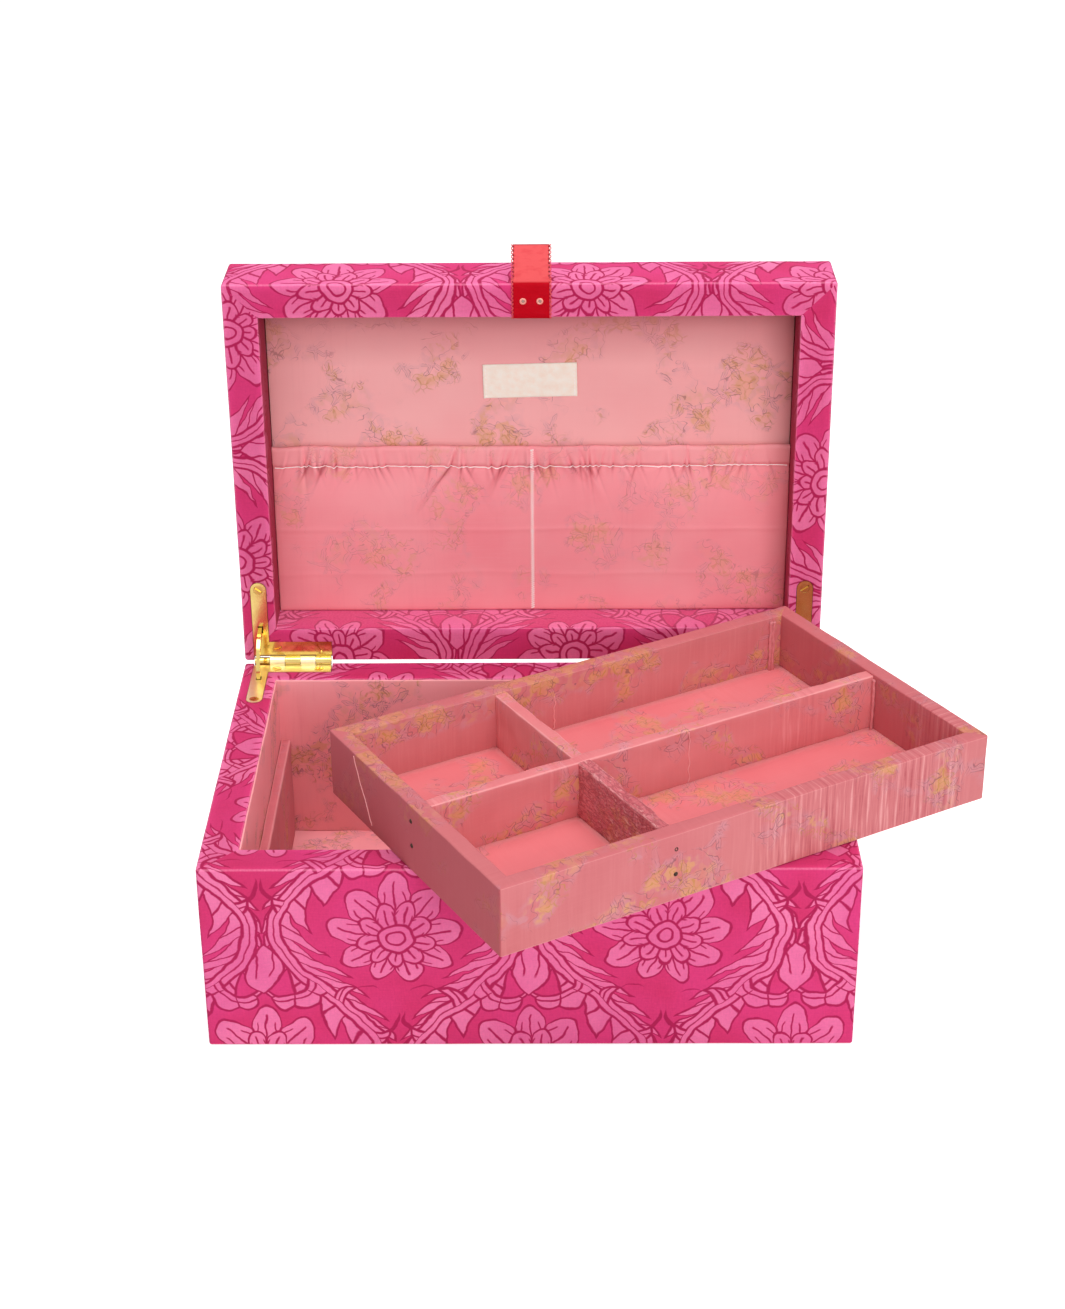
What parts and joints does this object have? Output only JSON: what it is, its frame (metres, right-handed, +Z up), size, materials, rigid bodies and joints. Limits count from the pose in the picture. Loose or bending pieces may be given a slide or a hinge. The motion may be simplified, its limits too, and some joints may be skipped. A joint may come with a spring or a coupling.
{
  "type": "sewing box",
  "caption": "Cloth-covered sewing box, lid open on brass quadrant hinges, gathered pocket in the lid, divided lift-out tray lying across the rims.",
  "frame": {"origin": "on the surface it stands on, under the middle of the box", "axes": "+X to the right along the box's length, +Y to the back where the hinges are, +Z up"},
  "size_m": [0.3386, 0.2902, 0.298],
  "materials": {
    "outer_cloth": "printed cotton, magenta ground with lighter leaves",
    "lining_cloth": "thin slubbed silk-like cloth with faint sprigs",
    "tray_cloth": "thin slubbed silk-like cloth with faint sprigs",
    "board": "plain grey-brown board",
    "felt": "pressed felt",
    "hinge_brass": "polished brass",
    "screw_brass": "polished brass",
    "satin_ribbon": "red satin ribbon with picot edges",
    "pin_enamel": "pale enamelled pin heads",
    "label_tape": "cream woven tape, blank",
    "elastic": "white elastic",
    "nail_steel": "dulled steel"
  },
  "bodies": {
    "box": {"front_board": "board", "back_board": "board", "left_board": "board", "right_board": "board", "base_board": "board", "body_cover": "outer_cloth", "base_felt": "felt", "front_liner": "lining_cloth", "back_liner": "lining_cloth", "left_liner": "lining_cloth", "right_liner": "lining_cloth", "floor_liner": "lining_cloth", "left_ledge": "lining_cloth", "right_ledge": "lining_cloth", "left_box_leaf": "hinge_brass", "right_box_leaf": "hinge_brass", "left_hinge_pin": "hinge_brass", "right_hinge_pin": "hinge_brass", "box_leaf_screws": "screw_brass"},
    "lid": {"lid_top_board": "board", "lid_front_board": "board", "lid_back_board": "board", "lid_left_board": "board", "lid_right_board": "board", "lid_cover": "outer_cloth", "lid_lining_panel": "lining_cloth", "lid_pocket": "lining_cloth", "pocket_elastic": "elastic", "woven_label": "label_tape", "pull_ribbon": "satin_ribbon", "ribbon_pins": "pin_enamel", "left_lid_leaf": "hinge_brass", "right_lid_leaf": "hinge_brass", "lid_leaf_screws": "screw_brass"},
    "left_stay": {"left_stay_arm": "hinge_brass"},
    "right_stay": {"right_stay_arm": "hinge_brass"},
    "tray": {"tray_front_board": "tray_cloth", "tray_back_board": "tray_cloth", "tray_left_board": "tray_cloth", "tray_right_board": "tray_cloth", "tray_base": "tray_cloth", "long_divider": "tray_cloth", "cross_divider": "tray_cloth", "tray_floor_cloth": "tray_cloth", "tray_nails": "nail_steel"}
  },
  "joints": [
    {"name": "lid_hinge", "type": "hinge", "parent": "box", "child": "lid", "pos_m": [0, 0.0964, 0.0904], "axis": [1, 0, 0], "range_deg": [0, 90]},
    {"name": "left_stay_slide", "type": "hinge", "parent": "box", "child": "left_stay", "pos_m": [0, 0.0964, 0.0904], "axis": [1, 0, 0], "range_deg": [0, 45]},
    {"name": "right_stay_slide", "type": "hinge", "parent": "box", "child": "right_stay", "pos_m": [0, 0.0964, 0.0904], "axis": [1, 0, 0], "range_deg": [0, 45]},
    {"name": "tray_lift", "type": "slide", "parent": "box", "child": "tray", "axis": [0, -0.9397, 0.342], "range_m": [0, 0.28]}
  ],
  "couplings": [
    {"joint": "left_stay_slide", "follows": "lid_hinge", "ratio": 0.5},
    {"joint": "right_stay_slide", "follows": "lid_hinge", "ratio": 0.5},
    {"joint": "tray_lift", "follows": "lid_hinge", "m_per_rad": 0.174}
  ]
}
